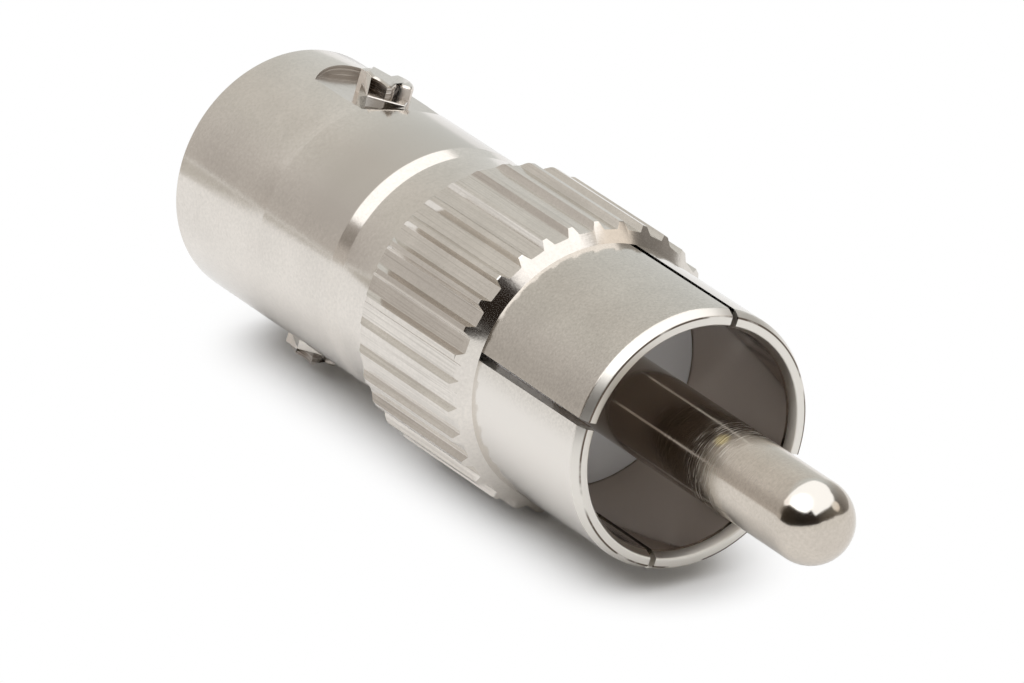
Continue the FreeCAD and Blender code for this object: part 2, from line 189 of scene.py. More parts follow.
def to_object(name, bm, temporary=False):
    """Object at the origin that holds the mesh."""
    mesh = bpy.data.meshes.new(name)
    bm.to_mesh(mesh)
    bm.free()
    obj = bpy.data.objects.new(name, mesh)
    scene.collection.objects.link(obj)
    if not temporary:
        print(f"{name}: {len(mesh.vertices)} vertices, {len(mesh.polygons)} faces")
    return obj


print("one facet covers", 360 / TURN_STEPS, "degrees")

# %% [markdown]
# ## The bayonet body
#
# One bar of brass became the barrel, the neck and the knurled collar. The collar is drawn at its full
# radius, and the valleys of the knurl are cut next. A shallow tool mark goes round the barrel at the
# lugs. It is only 0.03 mm deep and shows all the same, because a polished surface shows every change
# of slope.

# %% Turned blank of the bayonet body
MOUTH_RADIUS = 4.425
LEAD_IN = 0.5                   # length of the cone inside the mouth
TOOL_MARK = (-22.67, -21.47, -21.45)        # the barrel sinks slowly, and is back at its radius at once
TOOL_MARK_DEPTH = 0.03

body = to_object("bayonet_shell", turned([
    (MOUTH, MOUTH_RADIUS, 0.05),
    (MOUTH, BARREL_RADIUS, 0.12),
    (TOOL_MARK[0], BARREL_RADIUS, 0),
    (TOOL_MARK[1], BARREL_RADIUS - TOOL_MARK_DEPTH, 0),
    (TOOL_MARK[2], BARREL_RADIUS, 0),
    (BARREL_END, BARREL_RADIUS, 0.03),
    (NECK[0], NECK_RADIUS, 0.03),
    (NECK[1], NECK_RADIUS, 0.05),
    (COLLAR[0], KNURL_RADIUS, 0.12),
    (COLLAR[1], KNURL_RADIUS, 0.04),
    (COLLAR_FACE, SLEEVE_RADIUS, 0),
    (SLEEVE_BACK, SLEEVE_RADIUS, 0),
    (SLEEVE_BACK, WEB_BORE, 0),
    (WEB_FACE, WEB_BORE, 0),
    (WEB_FACE, SOCKET_BORE, 0.05),
    (MOUTH + LEAD_IN, SOCKET_BORE, 0.05),
]))

# %% [markdown]
# ## Milling
#
# Slots, flats and the valleys of the knurl were cut with tools, so we cut them with tools too: a
# closed cutter shape and a Boolean modifier. The modifier's result is read back as a plain mesh. The
# faces that a cutter leaves carry its own material number for a moment, which shows where a milled
# face meets a turned one. The same function joins a raised form to its blank, with a union.

# %% Cutting and joining
CUT_MARK, FLAT_MARK, LUG_MARK = 1, 2, 3     # material numbers of tools; a turned face has number 0
MARK_SLOTS = 4


def milled(blank, tools, operation, mark=CUT_MARK):
    """Cuts the blank, or joins to it. The tools' faces get the mark, and the tools are used up."""
    group = bpy.data.collections.new("tools")
    scene.collection.children.link(group)
    for tool in tools:
        scene.collection.objects.unlink(tool)
        group.objects.link(tool)
        for face in tool.data.polygons:
            face.material_index = mark
    for obj in [blank, *tools]:
        while len(obj.data.materials) < MARK_SLOTS:
            obj.data.materials.append(None)
    cut = blank.modifiers.new("cut", "BOOLEAN")
    cut.operation = operation
    cut.solver = "EXACT"
    cut.operand_type = "COLLECTION"
    cut.collection = group
    cut.material_mode = "INDEX"
    shape = bpy.data.meshes.new_from_object(blank.evaluated_get(bpy.context.evaluated_depsgraph_get()))
    blank.modifiers.remove(cut)
    old = blank.data
    blank.data = shape
    bpy.data.meshes.remove(old)
    for tool in list(group.objects):
        bpy.data.meshes.remove(tool.data)
    bpy.data.collections.remove(group)
    print(f"{blank.name}: {operation.lower()} leaves {len(shape.polygons)} faces")


print("marks of the tools:", CUT_MARK, FLAT_MARK, LUG_MARK)

# %% [markdown]
# The knurl has 32 ridges. Each valley is a prism with a flat floor and sloping sides, laid along the
# axis. It is one cutter, copied 32 times round the axis. Where the cutters run out through the cones at
# both ends of the collar, they leave the scalloped edge that makes a knurl look machined.

# %% Valleys of the knurl
VALLEY_BACK, VALLEY_LENGTH = -14.6, 8.0     # from the neck to beyond the collar
VALLEY_SIDE = [(0.272, 5.35), (0.30, 5.362), (0.47, 5.60), (0.484, 5.62)]   # from the floor up


def extruded(corners, push):
    """Solid swept from a flat face through the corners, and the vertices of its far end. All in mm."""
    bm = bmesh.new()
    face = bm.faces.new([bm.verts.new((x * MM, y * MM, z * MM)) for x, y, z in corners])
    raised = bmesh.ops.extrude_face_region(bm, geom=[face])
    far = [v for v in raised["geom"] if isinstance(v, bmesh.types.BMVert)]
    bmesh.ops.translate(bm, verts=far, vec=[v * MM for v in push])
    face_outward(bm)
    return bm, far


def tool_at(angle, bm):
    """Tool that was drawn straight up, turned to its angle round the axis."""
    bmesh.ops.rotate(bm, verts=bm.verts[:], cent=(0, 0, 0), matrix=round_the_axis(angle))
    return to_object("tool", bm, temporary=True)


def valley_tool(angle):
    """Cutter for one valley, from end to end of the collar."""
    across = [(-y, z) for y, z in reversed(VALLEY_SIDE)] + VALLEY_SIDE
    return tool_at(angle, extruded([(VALLEY_BACK, y, z) for y, z in across], (VALLEY_LENGTH, 0, 0))[0])


ridge_step = 360 / KNURL_RIDGES
milled(body, [valley_tool(LUG_ANGLE + (k + 0.5) * ridge_step) for k in range(KNURL_RIDGES)], "DIFFERENCE")

# %% [markdown]
# ## The bayonet lugs
#
# Each lug stands on a round flat that an end mill cut into the barrel. The second lug is a mirror
# image of the first, through the plane between them, so every tool is built once, and built again
# upside down.

# %% Round flats under the lugs
LUG_X = -22.6
FLAT_RADIUS, FLAT_FLOOR = 2.42, 4.47
FLAT_SHIFT = 0.45               # the flat's middle lies this much nearer to the mouth than the lug
MILL_DEPTH = 1.2


def both_sides(build):
    """The same tool at the first lug and, mirrored, at the second one."""
    tools = []
    for side in (1, -1):
        bm = build()
        if side == -1:
            bmesh.ops.scale(bm, verts=bm.verts[:], vec=(1, 1, -1))
            face_outward(bm)
        tools.append(tool_at(LUG_ANGLE, bm))
    return tools


def flat_tool():
    """End mill that leaves the round flat."""
    bm = bmesh.new()
    bmesh.ops.create_cone(bm, cap_ends=True, segments=96, radius1=FLAT_RADIUS * MM,
                          radius2=FLAT_RADIUS * MM, depth=MILL_DEPTH * MM)
    middle = ((LUG_X - FLAT_SHIFT) * MM, 0, (FLAT_FLOOR + MILL_DEPTH / 2) * MM)
    bmesh.ops.translate(bm, verts=bm.verts[:], vec=middle)
    return bm


milled(body, both_sides(flat_tool), "DIFFERENCE", FLAT_MARK)

# %% [markdown]
# A lug isn't a plain peg. Seen from above, its top is a slanting table with a hollow long side and a
# small round lobe. At the table's left end a step lies a little lower, and round it a foot spreads on
# the flat, towards the plug's side. We draw these outlines as seen from above, raise each one to its
# own height, and soften the top edges, because the real ones are worn and bright. The left side
# slopes, so it is the solid that just holds eight corners, which is called a convex hull.

# %% Outlines of the lug
LUG_ROOT = 4.37                 # heights over the axis: every part of the lug starts inside the barrel
FOOT_TOP = 4.95
STEP_TOP = 5.34
CHEEK_TOP = 5.36
TABLE_TOP = 5.46


def arc_through(start, middle, end, parts):
    """Points of an arc through three points, without its two ends, in the plane of the outline."""
    (ax, ay), (bx, by), (cx, cy) = start, middle, end
    aa, bb, cc = ax**2 + ay**2, bx**2 + by**2, cx**2 + cy**2
    d = 2 * (ax * (by - cy) + bx * (cy - ay) + cx * (ay - by))
    ux = (aa * (by - cy) + bb * (cy - ay) + cc * (ay - by)) / d
    uy = (aa * (cx - bx) + bb * (ax - cx) + cc * (bx - ax)) / d
    first = math.atan2(ay - uy, ax - ux)
    sweep = (math.atan2(cy - uy, cx - ux) - first) % math.tau
    half = (math.atan2(by - uy, bx - ux) - first) % math.tau
    if half >= sweep:
        sweep -= math.tau
    radius = math.hypot(ax - ux, ay - uy)
    turns = [first + sweep * k / parts for k in range(1, parts)]
    return [(ux + radius * math.cos(turn), uy + radius * math.sin(turn)) for turn in turns]


LUG_TABLE = (                   # (x, y) in mm from the lug's own centre
    [(-1.24, -0.06), (-0.70, -0.68), (0.04, -0.95)]
    + arc_through((0.04, -0.95), (0.61, -0.865), (1.18, -0.98), 8)
    + [(1.18, -0.98), (1.18, -0.76), (0.465, 0.17)]
    + arc_through((0.465, 0.17), (0.88, -0.12), (1.17, 0.12), 8)
    + [(1.17, 0.12)]
    + arc_through((1.17, 0.12), (0.35, 0.62), (-0.36, 0.44), 14)
    + [(-0.36, 0.44), (-0.21, 0.08)]
)
LUG_STEP = [(-1.24, -0.06), (-1.04, -0.68), (-0.70, -0.68), (-0.48, -0.16)]
LUG_FOOT = [(-0.61, -0.81), (0.94, -1.59), (1.77, -0.44), (1.20, 0.10), (0.30, 0.30), (-0.40, -0.20)]
LUG_CHEEK = [                   # corners of the sloping left side, each with its height
    (-0.70, -0.68, CHEEK_TOP), (0.04, -0.95, CHEEK_TOP), (0.94, -1.59, FOOT_TOP),
    (0.94, -1.59, LUG_ROOT), (-0.61, -0.81, LUG_ROOT), (-0.70, -0.68, LUG_ROOT),
    (-0.36, -0.665, CHEEK_TOP), (-0.36, -0.665, LUG_ROOT),
]
print("corners of the table:", len(LUG_TABLE))

# %% Lugs
def prism(outline, low, high, soften=0):
    """Upright prism on a flat outline of (x, y) in mm, perhaps with softened top edges."""
    bm, top = extruded([(x, y, low) for x, y in outline], (0, 0, high - low))
    if soften:
        rim = [e for e in bm.edges if all(v in top for v in e.verts)]
        bmesh.ops.bevel(bm, geom=rim, offset=soften * MM, affect="EDGES", segments=4, profile=0.5,
                        material=-1, clamp_overlap=False)
    return bm


def raised_on_barrel(outline, high, soften=0):
    """Prism on an outline that is drawn from the lug's own centre."""
    return prism([(LUG_X + x, y) for x, y in outline], LUG_ROOT, high, soften)


def cheek():
    """Solid round the corners of the lug's left side."""
    bm = bmesh.new()
    for x, y, z in LUG_CHEEK:
        bm.verts.new(((LUG_X + x) * MM, y * MM, z * MM))
    bmesh.ops.convex_hull(bm, input=bm.verts[:])
    face_outward(bm)
    return bm


lug_parts = (
    both_sides(lambda: raised_on_barrel(LUG_TABLE, TABLE_TOP, 0.13))
    + both_sides(lambda: raised_on_barrel(LUG_STEP, STEP_TOP))
    + both_sides(lambda: raised_on_barrel(LUG_FOOT, FOOT_TOP, 0.05))
    + both_sides(cheek)
)
milled(body, lug_parts, "UNION", LUG_MARK)

# %% [markdown]
# ## Rough and clean faces
#
# The end mill left some walls round the lugs brown and streaky, and the side of the round lobe pale
# but dull. A shader can't know which face is which, but the marks of the tools still tell us. So we
# write two face attributes, `milled` and `satin`, which the finish reads later.

# %% Rough milled faces
UPRIGHT = 0.5                   # a wall's normal has less than this share along the lug's own axis
HIGH_WALL = 5.1                 # walls that end lower than this belong to the foot


def mark_rough_faces(obj):
    """Two face attributes: walls that the end mill left brown and streaky, and dull but pale ones."""
    bm = bmesh.new()
    bm.from_mesh(obj.data)
    streaky = bm.faces.layers.float.new("milled")
    satin = bm.faces.layers.float.new("satin")
    to_lug = round_the_axis(LUG_ANGLE).inverted()
    rough = 0
    for face in bm.faces:
        centre = to_lug @ face.calc_center_median() / MM
        upright = abs((to_lug.to_3x3() @ face.normal).z) < UPRIGHT
        along = centre.x - LUG_X
        top = max(abs((to_lug @ v.co).z) for v in face.verts) / MM
        in_recess = along > -0.05 and centre.y < -0.2       # the hollow between the table and the foot
        if face.material_index == FLAT_MARK:
            face[streaky] = 0.7 if upright else 0.1
        elif face.material_index == LUG_MARK and upright and top > HIGH_WALL:
            if in_recess:
                paler = min(max((along - 0.3) / 0.6, 0), 1)     # 0 near the left end, 1 near the right one
                face[streaky] = 1.0 - 0.25 * paler
                face[satin] = 0.1 * paler
            elif along > 0.4 or centre.y < 0:
                face[satin] = 1.0
        rough += face[streaky] > 0.4
    bm.to_mesh(obj.data)
    bm.free()
    print(f"{obj.name}: {rough} rough faces")


mark_rough_faces(body)

# %% [markdown]
# Smooth shading blends the normals of neighbouring faces, which is right on a turned surface and wrong
# where two surfaces meet. So edges between a milled and a turned face are marked sharp, and so are
# steep ones. Each surface then keeps its own clean reflection. The Weighted Normal modifier lets the
# large faces decide at the small softened corners.

# %% Clean edges
SHARP_ANGLE = 32                # degrees


def crisp(obj):
    """Makes faces smooth and edges sharp where surfaces meet. Normals follow the larger face."""
    bm = bmesh.new()
    bm.from_mesh(obj.data)
    bmesh.ops.remove_doubles(bm, verts=bm.verts[:], dist=2 * MERGE_WITHIN)
    bmesh.ops.dissolve_degenerate(bm, edges=bm.edges[:], dist=2 * MERGE_WITHIN)
    for edge in bm.edges:
        faces = edge.link_faces
        milled_edge = len(faces) == 2 and faces[0].material_index != faces[1].material_index
        edge.smooth = not (milled_edge or edge.calc_face_angle(0) > math.radians(SHARP_ANGLE))
    for face in bm.faces:
        face.smooth = True
        face.material_index = 0
    bm.to_mesh(obj.data)
    bm.free()
    weigh = obj.modifiers.new("weighted normals", "WEIGHTED_NORMAL")
    weigh.keep_sharp = True
    print(f"{obj.name}: {len(obj.data.polygons)} faces with clean edges")


crisp(body)

# %% [markdown]
# ## The ground sleeve
#
# A thin tube with four slots, so that its four fingers can spring. The slots close in a little
# towards the rim. The rim has a chamfer outside and a lead-in inside, and both catch the light.

# %% Ground sleeve
SLOT_END = -8.08                # a little inside the collar
SLOT_HALF_WIDTHS = (0.165, 0.128)           # at its end and in front of the rim
SLOT_HEIGHTS = (3.6, 5.4)       # of the saw, clear of the wall on both sides
CHAMFER, INNER_CHAMFER = (0.37, 4.78), (0.42, 4.44)     # length along the axis, radius at the rim

sleeve = to_object("ground_sleeve", turned([
    (SLEEVE_BACK, SLEEVE_BORE, 0),
    (SLEEVE_BACK, SLEEVE_RADIUS, 0),
    (RIM - CHAMFER[0], SLEEVE_RADIUS, 0.08),
    (RIM, CHAMFER[1], 0.05),
    (RIM, INNER_CHAMFER[1], 0.05),
    (RIM - INNER_CHAMFER[0], SLEEVE_BORE, 0.08),
], start=SLOT_ANGLE - 180 / TURN_STEPS))


def slot_tool(angle):
    """Saw cut from the rim to a little inside the collar."""
    wide, narrow = SLOT_HALF_WIDTHS
    front = RIM + 0.4
    outline = [(SLOT_END, -wide), (front, -narrow), (front, narrow), (SLOT_END, wide)]
    return tool_at(angle, prism(outline, *SLOT_HEIGHTS))


milled(sleeve, [slot_tool(SLOT_ANGLE + 90 * k) for k in range(4)], "DIFFERENCE")
crisp(sleeve)

# %% [markdown]
# ## The centre pin and the white disc
#
# The pin is 3.175 mm thick, and its nose is half a ball. That nose is a corner of the profile whose
# softening is as large as the radius. The disc at the bottom of the sleeve is plain white plastic.

# %% Centre pin
pin = to_object("centre_pin", turned([
    (PIN_TAIL, 0, 0),
    (PIN_TAIL, TAIL_RADIUS, 0.1),
    (STEM_END, TAIL_RADIUS, 0),
    (STEM_END, STEM_RADIUS, 0),
    (DISC_FACE, STEM_RADIUS, 0),
    (DISC_FACE, PIN_RADIUS, 0.02),
    (PIN_TIP, PIN_RADIUS, PIN_RADIUS),
    (PIN_TIP, 0, 0),
]))
crisp(pin)

# %% White disc
disc = to_object("white_disc", turned([
    (DISC_BACK, STEM_RADIUS, 0),
    (DISC_BACK, SLEEVE_BORE, 0),
    (DISC_FACE, SLEEVE_BORE, 0.07),
    (DISC_FACE, STEM_RADIUS, 0),
]))
crisp(disc)

# %% [markdown]
# ## Inside the bayonet socket
#
# The other end shows when the part is seen from behind: a white nose fills the middle of the
# socket, and a small slotted contact sits in it.

# %% Nose of the socket
NOSE_RADIUS = 2.375
CONTACT_HOLE = 1.15             # wider than the contact, so that its fingers can spring

nose = to_object("socket_nose", turned([
    (NOSE_FACE, CONTACT_HOLE, 0.05),
    (NOSE_FACE, NOSE_RADIUS, 0.15),
    (WEB_FACE, NOSE_RADIUS, 0),
    (WEB_FACE, WEB_BORE, 0),
    (SLEEVE_BACK, WEB_BORE, 0),
    (SLEEVE_BACK, NOSE_FLANGE, 0.03),
    (NOSE_BACK, NOSE_FLANGE, 0.03),
    (NOSE_BACK, STEM_RADIUS, 0),
    (STEM_END, STEM_RADIUS, 0),
    (STEM_END, TAIL_RADIUS, 0),
    (CONTACT_BACK, TAIL_RADIUS, 0),
    (CONTACT_BACK, CONTACT_RADIUS, 0),
    (GRIP_END, CONTACT_RADIUS, 0),
    (GRIP_END, CONTACT_HOLE, 0),
]))
crisp(nose)

# %% Socket contact
CONTACT_BORE = 0.69
PARTITION = (-18.7, -17.1)      # solid stretch between the bore and the hole for the pin's tail
FINE_SAW = 0.1                  # half its width
FINE_SAW_HEIGHTS = (0.3, 1.5)

contact = to_object("socket_contact", turned([
    (CONTACT_MOUTH, 0.84, 0.03),
    (CONTACT_MOUTH, CONTACT_RADIUS, 0.08),
    (CONTACT_BACK, CONTACT_RADIUS, 0),
    (CONTACT_BACK, TAIL_RADIUS, 0),
    (PARTITION[1], TAIL_RADIUS, 0),
    (PARTITION[1], 0, 0),
    (PARTITION[0], 0, 0),
    (PARTITION[0], CONTACT_BORE, 0),
    (CONTACT_MOUTH + 0.15, CONTACT_BORE, 0.03),
], steps=96, start=0))


def contact_slot_tool(angle):
    """Saw cut through the mouth of the contact."""
    front = CONTACT_MOUTH - 0.4
    outline = [(front, -FINE_SAW), (GRIP_END, -FINE_SAW), (GRIP_END, FINE_SAW), (front, FINE_SAW)]
    return tool_at(angle, prism(outline, *FINE_SAW_HEIGHTS))


milled(contact, [contact_slot_tool(90 + 90 * k) for k in range(4)], "DIFFERENCE")
crisp(contact)

# %% [markdown]
# ## Finishes
#
# Plated metal is a mirror with small faults, so its colour is the colour of its reflections. The
# shader is a metallic Principled BSDF with low roughness. What sells it is variation: cloudy
# patches in the gloss, a fine grain, and marks that run the way the tool ran. That variation is
# one node group, used by all four metals.
#
# Node trees are easier to read when each kind of node has a short helper. An input of a helper is
# either a socket, which is linked, or a plain value, which is set. A socket knows its own tree.

# %% Helpers for numbers and colours
def new_material(name):
    """Material, its empty node tree, and the socket that takes its shader."""
    mat = bpy.data.materials.new(name)
    mat.use_nodes = True
    mat.node_tree.nodes.clear()
    output = mat.node_tree.nodes.new("ShaderNodeOutputMaterial")
    return mat, mat.node_tree, output.inputs["Surface"]


def tree_of(*values):
    """Node tree that the first socket among the values belongs to."""
    return next(value.id_data for value in values if isinstance(value, bpy.types.NodeSocket))


def feed(socket, value):
    """Links a socket to an input, or sets the input to a number, a place or a colour."""
    if isinstance(value, bpy.types.NodeSocket):
        tree_of(socket).links.new(value, socket)
    elif socket.type == "RGBA":
        socket.default_value = (*value, 1)
    else:
        socket.default_value = value


def math_node(operation, a, b=None, clamp=False):
    """Math node whose inputs are sockets or numbers."""
    node = tree_of(a, b).nodes.new("ShaderNodeMath")
    node.operation = operation
    node.use_clamp = clamp
    feed(node.inputs[0], a)
    if b is not None:
        feed(node.inputs[1], b)
    return node.outputs[0]


def plus(a, b, clamp=False):
    """Sum of two inputs."""
    return math_node("ADD", a, b, clamp)


def minus(a, b, clamp=False):
    """Difference of two inputs."""
    return math_node("SUBTRACT", a, b, clamp)


def times(a, b, clamp=False):
    """Product of two inputs."""
    return math_node("MULTIPLY", a, b, clamp)


def rises(value, low, high):
    """0 below low, 1 above high, with a soft border."""
    node = tree_of(value).nodes.new("ShaderNodeMapRange")
    node.interpolation_type = "SMOOTHSTEP"
    feed(node.inputs["Value"], value)
    feed(node.inputs["From Min"], low)
    feed(node.inputs["From Max"], high)
    return node.outputs["Result"]


def falls(value, low, high):
    """1 below low, 0 above high, with a soft border."""
    return minus(1.0, rises(value, low, high))


def mixed(factor, a, b):
    """Colour mix of two sockets or colours."""
    node = tree_of(factor).nodes.new("ShaderNodeMix")
    node.data_type = "RGBA"
    feed(node.inputs["Factor"], factor)
    feed(node.inputs["A"], a)
    feed(node.inputs["B"], b)
    return node.outputs["Result"]


# %% [markdown]
# A turned piece is easiest to describe as on a lathe: how far along the axis, how far from it, and at
# which angle round it. All of that comes from Object coordinates, so a pattern stays with its piece.

# %% Helpers for places
Place = namedtuple("Place", "along radius around")


def object_place(tree):
    """Object coordinates: the place on a piece, in metres."""
    return tree.nodes.new("ShaderNodeTexCoord").outputs["Object"]


def axes_of(vector):
    """Outputs X, Y and Z of a vector."""
    parts = tree_of(vector).nodes.new("ShaderNodeSeparateXYZ")
    feed(parts.inputs[0], vector)
    return parts.outputs


def hypotenuse(a, b):
    """Length of the long side over two short ones."""
    squares = plus(math_node("POWER", a, 2.0), math_node("POWER", b, 2.0))
    return math_node("POWER", squares, 0.5)


def place_on_lathe(tree):
    """Place along the axis and distance from it, in mm, and the angle round it in radians."""
    axes = axes_of(object_place(tree))
    return Place(along=times(axes["X"], 1000.0),
                 radius=times(hypotenuse(axes["Y"], axes["Z"]), 1000.0),
                 around=math_node("ARCTAN2", axes["Z"], axes["Y"]))


def height_over_axis(tree):
    """Height over the adapter's axis in mm, as it lies."""
    return times(axes_of(object_place(tree))["Z"], 1000.0)


def near_point(tree, point, inner, outer):
    """1 near a point of the piece, 0 away from it. All in mm."""
    away = tree.nodes.new("ShaderNodeVectorMath")
    away.operation = "DISTANCE"
    feed(away.inputs[0], object_place(tree))
    feed(away.inputs[1], tuple(v * MM for v in point))
    return falls(away.outputs["Value"], inner * MM, outer * MM)


def noise_node(vector, scale, detail=2.0):
    """Noise pattern that is evaluated at a vector."""
    node = tree_of(vector).nodes.new("ShaderNodeTexNoise")
    feed(node.inputs["Vector"], vector)
    feed(node.inputs["Scale"], scale)
    feed(node.inputs["Detail"], detail)
    return node.outputs["Fac"]


# %% [markdown]
# The group has five patterns. Two of them, the patches and the grain, are plain noise in space. The
# other three are noise on a flat map of the turned surface, stretched one way: rings run round the
# axis, streaks run along it, and the end mill's marks run across its walls.

# %% Group of plating faults
GROUP_INPUTS = [("Patch size mm", 2.0), ("Grain size mm", 0.08), ("Ring size mm", 0.06)]
GROUP_OUTPUTS = ["Patches", "Grain", "Rings", "Streaks", "Cutter marks"]


def plating_group():
    """Cloudy patches, fine grain and tool marks, as masks from 0 to 1 around 0.5."""
    tree = bpy.data.node_groups.new("plating faults", "ShaderNodeTree")
    side = tree.interface
    for name, usual in GROUP_INPUTS:
        side.new_socket(name, in_out="INPUT", socket_type="NodeSocketFloat").default_value = usual
    for name in GROUP_OUTPUTS:
        side.new_socket(name, in_out="OUTPUT", socket_type="NodeSocketFloat")
    given = tree.nodes.new("NodeGroupInput").outputs
    wanted = tree.nodes.new("NodeGroupOutput").inputs
    space = object_place(tree)
    for name, size in (("Patches", "Patch size mm"), ("Grain", "Grain size mm")):
        scale = math_node("DIVIDE", 1000.0, given[size])
        feed(wanted[name], noise_node(space, scale, 4.0))
    place = place_on_lathe(tree)
    rings_per_mm = math_node("DIVIDE", 1.0, given["Ring size mm"])
    flat_maps = {
        "Rings": (times(place.along, rings_per_mm), times(place.around, 2.0)),
        "Streaks": (times(place.along, 0.15), times(place.around, 70.0)),
        "Cutter marks": (times(place.along, 1.2), times(place.radius, 22.0)),
    }
    for name, (u, v) in flat_maps.items():
        flat = tree.nodes.new("ShaderNodeCombineXYZ")
        feed(flat.inputs["X"], u)
        feed(flat.inputs["Y"], v)
        feed(wanted[name], noise_node(flat.outputs[0], 1.0))
    return tree


PLATING = plating_group()
print("outputs of the plating group:", [s.name for s in PLATING.interface.items_tree if s.in_out == "OUTPUT"])

# %% [markdown]
# One function makes every metal. The grain speckles the colour and lifts the surface a little, and the
# patches let colour and gloss drift. Then come the tints: places with a look of their own, such as a worn
# rim, and places of painted light and shade. Each is a mask, the colour that shows there and the roughness
# that it adds.

# %% Metal finishes
COLOUR_SWING = 0.3              # how far speckle and clouds may take the colour, as a share of it
CLOUD_COLOUR, CLOUD_ROUGHNESS = 0.3, 0.06
GRAIN_HEIGHT = 0.001            # in mm


def bumpy(shader, height):
    """Gives a shader the uneven surface of a height in mm."""
    bump = tree_of(height).nodes.new("ShaderNodeBump")
    feed(bump.inputs["Distance"], MM)
    feed(bump.inputs["Height"], height)
    feed(shader.inputs["Normal"], bump.outputs["Normal"])


def metal(name, colour, roughness, grain_size=0.13, speckle=0.6, ring_height=0.0, tints=()):
    """Plated metal: a colour with speckle and clouds, a gloss that drifts, and a fine uneven height."""
    mat, tree, surface = new_material(name)
    shader = tree.nodes.new("ShaderNodeBsdfPrincipled")
    feed(shader.inputs["Metallic"], 1.0)
    faults = tree.nodes.new("ShaderNodeGroup")
    faults.node_tree = PLATING
    feed(faults.inputs["Grain size mm"], grain_size)
    cloud = minus(faults.outputs["Patches"], 0.5)
    speck = minus(faults.outputs["Grain"], 0.5)
    blend = plus(times(cloud, CLOUD_COLOUR), times(speck, speckle))
    darkest = tuple(c * (1 - COLOUR_SWING) for c in colour)
    palest = tuple(c * (1 + COLOUR_SWING) for c in colour)
    tone = mixed(plus(blend, 0.5, clamp=True), darkest, palest)
    rough = plus(times(cloud, CLOUD_ROUGHNESS), roughness)
    for mask_of, shade, added in tints:
        mask = mask_of(tree, faults.outputs)
        tone = mixed(mask, tone, shade)
        rough = plus(rough, times(mask, added), clamp=True)
    feed(shader.inputs["Base Color"], tone)
    feed(shader.inputs["Roughness"], rough)
    height = times(faults.outputs["Grain"], GRAIN_HEIGHT)
    if ring_height:
        height = plus(height, times(faults.outputs["Rings"], ring_height))
    bumpy(shader, height)
    feed(surface, shader.outputs[0])
    print(f"{name}: {len(tree.nodes)} nodes, {len(tints)} tints")
    return mat


SPRING_BRASS = metal("spring brass", (0.74, 0.58, 0.27), 0.2)

# %% [markdown]
# ## The body's satin nickel
#
# The barrel was polished less than the sleeve, so it is the dullest of the three nickels, with faint rings
# from the lathe. The brown walls round the lugs and the dull side of the lobe come from the two face
# attributes. The knurl has dull lines along its ridges, and painted shade darkens the top of the barrel.

# %% Satin nickel
KNURL_MIDDLE = -10.7


def attribute(tree, name):
    """Number that a face attribute holds."""
    node = tree.nodes.new("ShaderNodeAttribute")
    node.attribute_name = name
    return node.outputs["Fac"]


def cutter_marks(tree, faults):
    """Brown streaks that the end mill left on the walls round the lugs."""
    lines = minus(times(faults["Cutter marks"], 3.6), 0.95, clamp=True)
    return times(attribute(tree, "milled"), lines, clamp=True)


def lobe_side(tree, faults):
    """Pale but dull side of the lug's round lobe."""
    return attribute(tree, "satin")


def knurl_streaks(tree, faults):
    """Dull lines along the ridges and valleys of the collar."""
    place = place_on_lathe(tree)
    from_middle = math_node("ABSOLUTE", minus(place.along, KNURL_MIDDLE))
    collar = times(rises(place.radius, 4.97, 5.05), falls(from_middle, 3.1, 3.4))
    lines = times(minus(faults["Streaks"], 0.48), 3.0, clamp=True)
    return times(collar, lines)


def barrel_top_painted_shade(tree, faults):
    """Painted shade: darker colour on top of the barrel, between the lugs and the shoulder."""
    along = place_on_lathe(tree).along
    stretch = times(rises(along, -22.2, -18.0), falls(along, -16.9, -16.7))
    return times(stretch, rises(height_over_axis(tree), 2.0, 3.2))


SATIN_NICKEL = metal("satin nickel", (0.71, 0.67, 0.62), 0.14, grain_size=0.12, speckle=0.40,
                     ring_height=0.0006, tints=[
                         # painted shade: darker colour on the barrel's top
                         (barrel_top_painted_shade, (0.62, 0.585, 0.54), 0.0),
                         (cutter_marks, (0.12, 0.082, 0.054), 0.30),
                         (lobe_side, (0.80, 0.74, 0.68), 0.42),
                         (knurl_streaks, (0.52, 0.487, 0.443), 0.05),
                     ])

# %% [markdown]
# ## The sleeve's bright nickel
#
# Plugging in polishes the outside of the sleeve and wears its rim: the gloss is gone there, and a broken
# brown line runs along the edge of the chamfer. The lower half is painted paler, a painted reflection of the
# paper below it. Inside, the wall is painted darker and browner, which is painted shade.

# %% Bright nickel
CHAMFER_EDGE = 4.755            # radius at which the rim's chamfer meets its face


def sleeve_lower_painted_light(tree, faults):
    """Painted light: paler colour on the lower half of the sleeve, where it mirrors the paper, less so at the
    very bottom.
    """
    height = height_over_axis(tree)
    lower = falls(height, 0.6, 1.7)
    lowest = falls(height, -3.8, -1.3)
    return times(lower, minus(1.0, times(lowest, 0.5)))


def sleeve_inside_painted_shade(tree, faults):
    """Painted shade: darker, browner colour on the inner wall of the sleeve."""
    return times(falls(place_on_lathe(tree).radius, 4.30, 4.40), 0.92)


def sleeve_rim(tree, faults):
    """Worn rim: it has lost its gloss."""
    return rises(place_on_lathe(tree).along, -0.42, -0.34)


def sleeve_rim_lines(tree, faults):
    """Broken brown line where the chamfer meets the face of the rim."""
    place = place_on_lathe(tree)
    gap = math_node("ABSOLUTE", minus(place.radius, CHAMFER_EDGE))
    near = times(falls(gap, 0.015, 0.05), rises(place.along, -0.1, -0.04))
    return times(near, rises(faults["Patches"], 0.40, 0.50))


